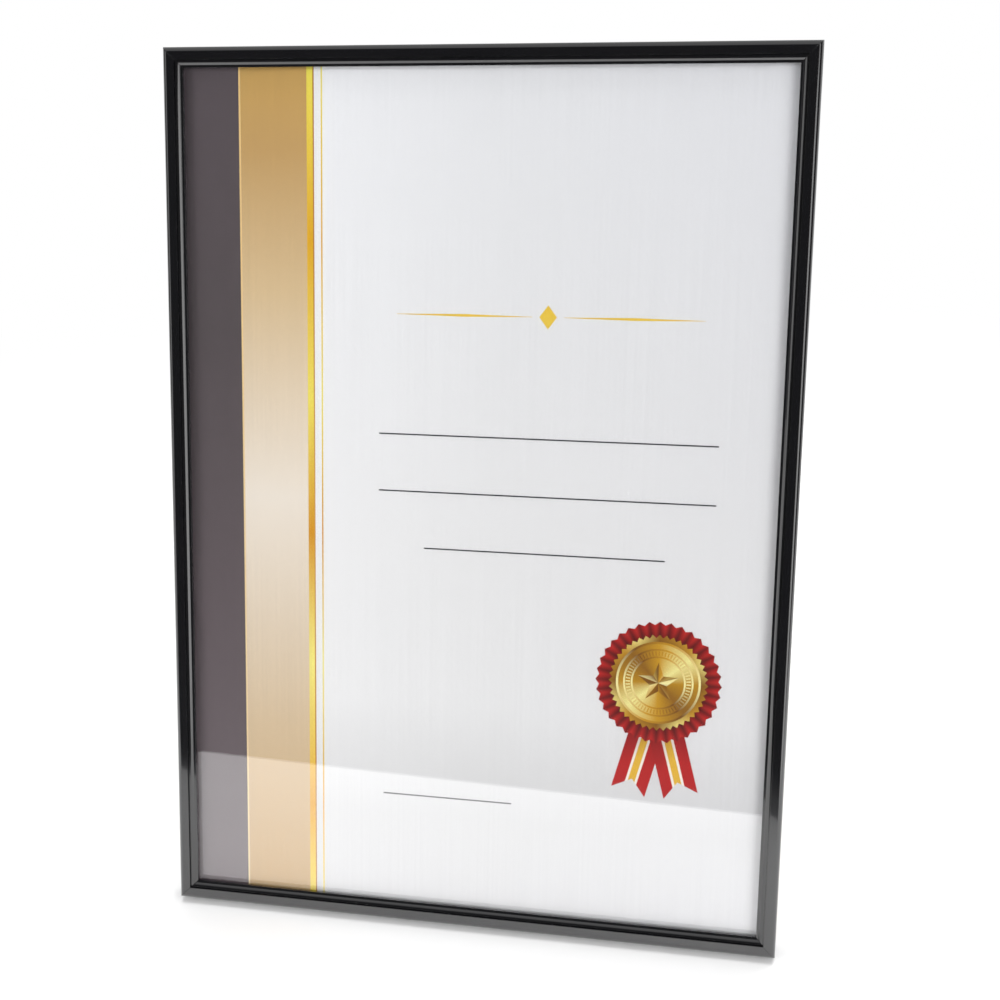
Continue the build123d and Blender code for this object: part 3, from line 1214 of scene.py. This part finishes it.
    def tail(self, side: str, sign: int, flat: Place) -> None:
        """Draws one ribbon tail with a swallow-tail end, splayed to its side.

        Args:
            side: left or right.
            sign: minus one to the left, one to the right.
            flat: the rosette's middle, at the tail's height.
        """
        half = self.tail_length / 2
        bpy.ops.mesh.primitive_plane_add(size=1)
        piece = new_piece(f"rosette_tail_{side}")
        with editing(piece):
            bpy.ops.transform.resize(value=(self.tail_width, self.tail_length, 1))
            bpy.ops.transform.translate(value=(0, -half, 0))
            bpy.ops.mesh.bisect(plane_co=(0, 0, 0), plane_no=(1, 0, 0))
            select(
                piece,
                Element.VERTEX,
                lambda point: abs(point.co.x) < ON_LINE_MM and point.co.y < -half,
            )
            bpy.ops.transform.translate(value=(0, self.tail_notch, 0))
            bpy.ops.mesh.select_all(action="SELECT")
            extrude(self.film)
            turn_outwards()
        splay = Matrix.Rotation(math.radians(self.tail_splay_deg) * sign, 4, "Z")
        piece.data.transform(Matrix.Translation((0, -self.tail_drop, 0)) @ splay)
        settle(piece, flat, StripedRibbon("striped_ribbon_ink").material(flat))

    def pleats(self, flat: Place, ink: Finish) -> None:
        """Draws the pleated ring, with a pinked edge and its folds in slight relief.

        Args:
            flat: the rosette's middle, at the ring's height.
            ink: its finish.
        """
        count = self.pleat_count
        bpy.ops.mesh.primitive_circle_add(vertices=2 * count, radius=self.pleat_radius)
        ring = new_piece("rosette_pleats")
        with editing(ring):
            bpy.ops.mesh.extrude_edges_move()
            bpy.ops.transform.resize(value=(self.pleat_root, self.pleat_root, 1))
            self.pinch(ring, count, self.pleat_pinch, self.pleat_radius * (1 + self.pleat_root) / 2)
            select(ring, Element.VERTEX, lambda point: self.odd(point.co, count))
            bpy.ops.transform.translate(value=(0, 0, self.film))
            turn_outwards()
        modify(ring, "SOLIDIFY", thickness=self.film, offset=0.0)
        settle(ring, flat, ink.material(flat))

    def seal(self, flat: Place, ink: Finish) -> None:
        """Draws the gold seal's notched blank.

        Args:
            flat: the rosette's middle, at the seal's height.
            ink: its finish.
        """
        bpy.ops.mesh.primitive_circle_add(
            vertices=2 * self.seal_notches, radius=self.seal_radius, fill_type="NGON"
        )
        blank = new_piece("rosette_seal")
        with editing(blank):
            self.pinch(blank, self.seal_notches, self.seal_pinch)
            bpy.ops.mesh.select_all(action="SELECT")
            extrude(self.film)
            turn_outwards()
        settle(blank, flat, ink.material(flat))

    def medal(self, flat: Place, disc: Finish, rings: Finish) -> None:
        """Draws the round medal: a disc with rings printed on its flats.

        Args:
            flat: the rosette's middle, at the medal's height.
            disc: the finish of its flats.
            rings: the finish of its rings.
        """
        bpy.ops.mesh.primitive_circle_add(
            vertices=self.medal_sides, radius=self.medal_radius, fill_type="NGON"
        )
        medal = new_piece("rosette_medal")
        with editing(medal):
            extrude(self.film / 2)
            for width in self.medal_steps:
                bpy.ops.mesh.inset(thickness=width)
            turn_outwards()
        least, greatest = self.ring_widths
        for face in medal.data.polygons:
            radii = [math.hypot(*medal.data.vertices[v].co.xy) for v in face.vertices]
            face.material_index = int(least < max(radii) - min(radii) < greatest)
        settle(medal, flat, disc.material(flat), rings.material(flat))

    def reeding(self, flat: Place, ink: Finish) -> None:
        """Draws a ring of short bars, as on a coin: one bar, spun round the middle.

        Args:
            flat: the rosette's middle, at the bars' height.
            ink: their finish.
        """
        copies = self.reed_count - 1
        bpy.ops.mesh.primitive_plane_add(size=1)
        ring = new_piece("rosette_reeding")
        with editing(ring):
            bpy.ops.transform.resize(value=(self.reed_length, self.reed_width, 1))
            extrude(self.film)
            bpy.ops.transform.resize(value=(*self.reed_taper, 1))
            bpy.ops.mesh.select_all(action="SELECT")
            bpy.ops.transform.translate(value=(self.reed_circle, 0, 0))
            turn_outwards()
            bpy.ops.mesh.spin(
                steps=copies,
                dupli=True,
                angle=math.tau * copies / self.reed_count,
                center=(0, 0, 0),
                axis=(0, 0, 1),
            )
        settle(ring, flat, ink.material(flat))

    def star(self, flat: Place, light: Finish, dark: Finish) -> None:
        """Draws the five-pointed star, with a light and a dark facet to each point.

        Args:
            flat: the rosette's middle, at the star's height.
            light: the finish of one half of each point.
            dark: the finish of the other half.
        """
        bpy.ops.mesh.primitive_circle_add(
            vertices=2 * self.star_points, radius=self.star_radius, fill_type="TRIFAN"
        )
        star = new_piece("rosette_star")
        with editing(star):
            self.pinch(star, self.star_points, self.star_waist)
            select(star, Element.VERTEX, lambda point: point.co.length < ON_LINE_MM)
            bpy.ops.transform.translate(value=(0, 0, self.film))
        for number, face in enumerate(star.data.polygons):
            face.material_index = number % 2
        settle(star, flat, light.material(flat), dark.material(flat))


@dataclass
class BackPanel:
    """The fibreboard back with its turn buttons and their rivets."""

    place: Place
    board_ease_mm: float = 0.2
    steel_ease_mm: float = 0.12

    def build(self) -> None:
        """Finishes the board, the buttons and the rivets."""
        eased_copy("backboard", BOARD.material(self.place), self.board_ease_mm)
        for node in frame["nodes"]:
            if node.startswith("turn_button") and node != "turn_button_rivets":
                eased_copy(node, ZINC.material(self.place), self.steel_ease_mm)
        Rivets("turn_button_rivets").build(self.place)


@dataclass
class EaselLeg:
    """The strut, its hinge and the hinge's rivets."""

    place: Place
    board_ease_mm: float = 0.25
    steel_ease_mm: float = 0.1

    def build(self) -> None:
        """Finishes the strut, the leaves, the pin and the rivets."""
        eased_copy("strut", STRUT_BOARD.material(self.place), self.board_ease_mm)
        for node in ("strut_hinge_fixed_leaf", "strut_hinge_moving_leaf", "strut_hinge_pin"):
            eased_copy(node, ZINC.material(self.place), self.steel_ease_mm)
        for node in ("fixed_leaf_rivets", "moving_leaf_rivets"):
            Rivets(node).build(self.place)


@dataclass
class WallHangers:
    """The two folded straps, their rings and their rivets."""

    place: Place
    strap_ease_mm: float = 0.1

    def build(self) -> None:
        """Finishes the straps, the wire rings and the rivets."""
        for side in ("top", "side"):
            eased_copy(f"{side}_hanger_strap", ZINC.material(self.place), self.strap_ease_mm)
            eased_copy(f"{side}_hanger_ring", WIRE_NICKEL.material(self.place), 0.0)
        Rivets("hanger_rivets").build(self.place)


@dataclass(frozen=True)
class Lamp:
    """A soft box, aimed at the middle of the frame.

    Attributes:
        at: its middle, in metres.
        wide, tall: its sides, in metres.
        mirrored: whether gloss shows it.
        off_glass: whether it is flagged off the pane, so that the glass doesn't mirror it.
    """

    name: str
    at: tuple[float, float, float]
    wide: float
    tall: float
    watts: float
    mirrored: bool = True
    off_glass: bool = False


@dataclass
class Studio:
    """A pale table, soft boxes, a plain white room and the camera.

    Attributes:
        camera_at: the camera, in millimetres from the middle of the sight opening, on its axes.
        camera_aim: the point of the sight opening that the camera looks at.
        camera_roll_deg: how far the camera is rolled.
        sight_out: the sight edge in front of the sheet, in millimetres.
        table_front, table_deep, table_wide: the table's front edge and its sides, in metres.
        table_fade: how far from the frame the table starts to fade and is white, in metres.
        ambient: how much light the room gives.
        wall_reach, rear_reach, ceiling_reach: where the mirrored walls, the room behind the frame
            and the ceiling start and are full, by how far a ray goes aside, back and up.
        wall_levels, ceiling_levels: how bright they are there.
    """

    place: Place
    camera_at: tuple[float, float, float] = (133.7, 115.5, 648.8)
    camera_aim: tuple[float, float] = (13.3, 4.5)
    camera_roll_deg: float = -1.03
    camera_near: float = 0.01
    sight_out: float = 3.675
    lens_mm: float = 50.1
    sensor_mm: float = 36.0
    table_front: float = -0.514
    table_turn_deg: float = 9.7
    table_deep: float = 4.5
    table_wide: float = 8.0
    table_white: str = "#f8f8f8"
    table_fade: tuple[float, float] = (0.4, 1.3)
    ambient: float = 0.42
    wall_reach: tuple[float, float] = (0.42, 0.85)
    wall_levels: tuple[float, float] = (0.3, 1.0)
    rear_reach: tuple[float, float] = (-0.1, 0.2)
    ceiling_reach: tuple[float, float] = (0.5, 0.8)
    ceiling_levels: tuple[float, float] = (0.05, 0.6)
    lamps: tuple[Lamp, ...] = (
        Lamp("left_strip_box", (-1.49, -1.0, 0.325), 0.85, 1.35, 3.4, off_glass=True),
        Lamp("right_strip_box", (1.16, -1.38, 0.325), 0.9, 1.35, 7.4, off_glass=True),
        Lamp("left_soft_box", (-1.75, -1.25, 0.8), 1.0, 1.2, 21.5, mirrored=False),
        Lamp("right_soft_box", (1.75, -1.25, 0.8), 1.0, 1.2, 21.5, mirrored=False),
        Lamp("top_soft_box", (0.0, 0.3, 2.2), 1.6, 1.6, 30.0, mirrored=False),
        Lamp("rear_soft_box", (0.9, 1.6, 1.5), 1.2, 1.2, 18.0),
    )

    def build(self) -> None:
        """Sets the table, the lamps, the room and the camera."""
        self.table()
        self.light()
        self.room()
        self.camera()

    def table(self) -> None:
        """Lays a pale table top under the frame, which fades into the white room far off."""
        bpy.ops.mesh.primitive_plane_add(size=1)
        top = new_piece("table_top")
        with editing(top):
            bpy.ops.transform.resize(value=(self.table_wide, self.table_deep, 1))
            bpy.ops.transform.translate(value=(0, self.table_deep / 2, 0))
        turn = Matrix.Rotation(math.radians(self.table_turn_deg), 4, "Z")
        top.data.transform(Matrix.Translation((0, self.table_front, 0)) @ turn)
        # Matt white laminate: no gloss, so only the frame's soft shadow shows on it.
        laminate = bpy.data.materials.new("matt_white_table")
        laminate.use_nodes = True
        tree = laminate.node_tree
        shader = tree.nodes["Principled BSDF"]
        white = linear(self.table_white)
        plug(tree, shader, {"Base Color": white, "Roughness": 0.9, "Specular IOR Level": 0.1})
        spot = add_node(tree, "TexCoord").outputs["Object"]
        far = add_node(tree, "VectorMath", {0: spot}, operation="LENGTH").outputs["Value"]
        near_end, far_end = self.table_fade
        fade = add_node(
            tree,
            "MapRange",
            {"Value": far, "From Min": near_end, "From Max": far_end},
            interpolation_type="SMOOTHSTEP",
        )
        path = add_node(tree, "LightPath").outputs
        seen = path["Is Camera Ray"]
        for ray in (path["Is Glossy Ray"], path["Is Transmission Ray"]):
            seen = add_node(tree, "Math", {0: seen, 1: ray}, operation="MAXIMUM")
        amount = add_node(tree, "Math", {0: seen, 1: fade}, operation="MULTIPLY")
        glow = add_node(tree, "Emission", {"Color": (1, 1, 1, 1), "Strength": 1.0})
        mixed = add_node(tree, "MixShader", {0: amount, 1: shader, 2: glow})
        plug(tree, tree.nodes["Material Output"], {"Surface": mixed})
        top.data.materials.append(laminate)

    def light(self) -> None:
        """Hangs the soft boxes round the frame, and flags some of them off the pane."""
        flagged = bpy.data.collections.new("out_of_strip_light")
        flagged.objects.link(frame["nodes"]["glazing"])
        flagged.collection_objects[0].light_linking.link_state = "EXCLUDE"
        for lamp in self.lamps:
            data = bpy.data.lights.new(lamp.name, "AREA")
            data.shape = "RECTANGLE"
            data.size = lamp.wide
            data.size_y = lamp.tall
            data.energy = lamp.watts
            box = bpy.data.objects.new(lamp.name, data)
            box.location = lamp.at
            aim = self.place.origin - Vector(lamp.at)
            box.rotation_euler = aim.to_track_quat("-Z", "Y").to_euler()
            box.visible_camera = False
            box.visible_glossy = lamp.mirrored
            if lamp.off_glass:
                box.light_linking.receiver_collection = flagged
            bpy.context.scene.collection.objects.link(box)

    def room(self) -> None:
        """Makes a white room, soft grey as a light: gloss shows pale walls and a dim front."""
        world = bpy.data.worlds.new("white_room")
        world.use_nodes = True
        bpy.context.scene.world = world
        tree = world.node_tree
        tree.nodes.clear()
        toward = add_node(tree, "TexCoord").outputs["Generated"]
        apart = add_node(tree, "SeparateXYZ", {"Vector": toward}).outputs
        aside = add_node(tree, "Math", {0: apart["X"]}, operation="ABSOLUTE")
        walls, rear, ceiling = [
            add_node(
                tree,
                "MapRange",
                {"Value": way, "From Min": start, "From Max": end, "To Min": low, "To Max": high},
                interpolation_type="SMOOTHSTEP",
            )
            for way, (start, end), (low, high) in (
                (aside, self.wall_reach, self.wall_levels),
                (apart["Y"], self.rear_reach, (0.0, 1.0)),
                (apart["Z"], self.ceiling_reach, self.ceiling_levels),
            )
        ]
        pale = add_node(tree, "Math", {0: walls, 1: rear}, operation="MULTIPLY")
        mirrored = add_node(tree, "Math", {0: pale, 1: ceiling}, operation="MAXIMUM")
        path = add_node(tree, "LightPath").outputs
        glossy = add_node(
            tree, "Mix", {"Factor": path["Is Glossy Ray"], 2: self.ambient, 3: mirrored}
        )
        seen = add_node(
            tree,
            "Math",
            {0: path["Is Camera Ray"], 1: path["Is Transmission Ray"]},
            operation="MAXIMUM",
        )
        level = add_node(tree, "Mix", {"Factor": seen, 2: glossy, 3: 1.0})
        shine = add_node(tree, "Background", {"Color": (1, 1, 1, 1), "Strength": level})
        add_node(tree, "OutputWorld", {"Surface": shine})

    def camera(self) -> None:
        """Places the camera on the sight opening's own axes."""
        sight = self.place.moved(0, 0, self.sight_out)
        at = sight.matrix() @ Vector(self.camera_at)
        aim = sight.matrix() @ Vector((*self.camera_aim, 0))
        forward = (aim - at).normalized()
        up = Matrix.Rotation(self.place.tilt, 3, "X") @ Vector((0, 1, 0))
        right = forward.cross(up).normalized()
        level_up = right.cross(forward)
        roll = math.radians(self.camera_roll_deg)
        rolled_up = level_up * math.cos(roll) + right * math.sin(roll)
        rolled_right = forward.cross(rolled_up)
        turn = Matrix((rolled_right, rolled_up, -forward)).transposed()
        data = bpy.data.cameras.new("camera")
        data.lens = self.lens_mm
        data.sensor_width = self.sensor_mm
        data.clip_start = self.camera_near
        eye = bpy.data.objects.new("camera", data)
        eye.matrix_world = Matrix.Translation(at) @ turn.to_4x4()
        bpy.context.scene.collection.objects.link(eye)
        bpy.context.scene.camera = eye


def main() -> None:
    """Builds the frame's looks in order, from the moulding to the camera."""
    logging.basicConfig(level=logging.INFO, format="%(name)s: %(message)s")
    bpy.context.scene.view_settings.view_transform = "Standard"
    bpy.ops.object.select_all(action="DESELECT")
    place = Place.of_sheet()
    Moulding(place).build()
    Glazing(place).build()
    sheet = PrintedSheet(place)
    sheet.build()
    RuledField(place, sheet.field_middle, sheet.front).build()
    AwardRosette(place, sheet.front).build()
    BackPanel(place).build()
    EaselLeg(place).build()
    WallHangers(place).build()
    Studio(place).build()


if __name__ == "__main__":
    main()
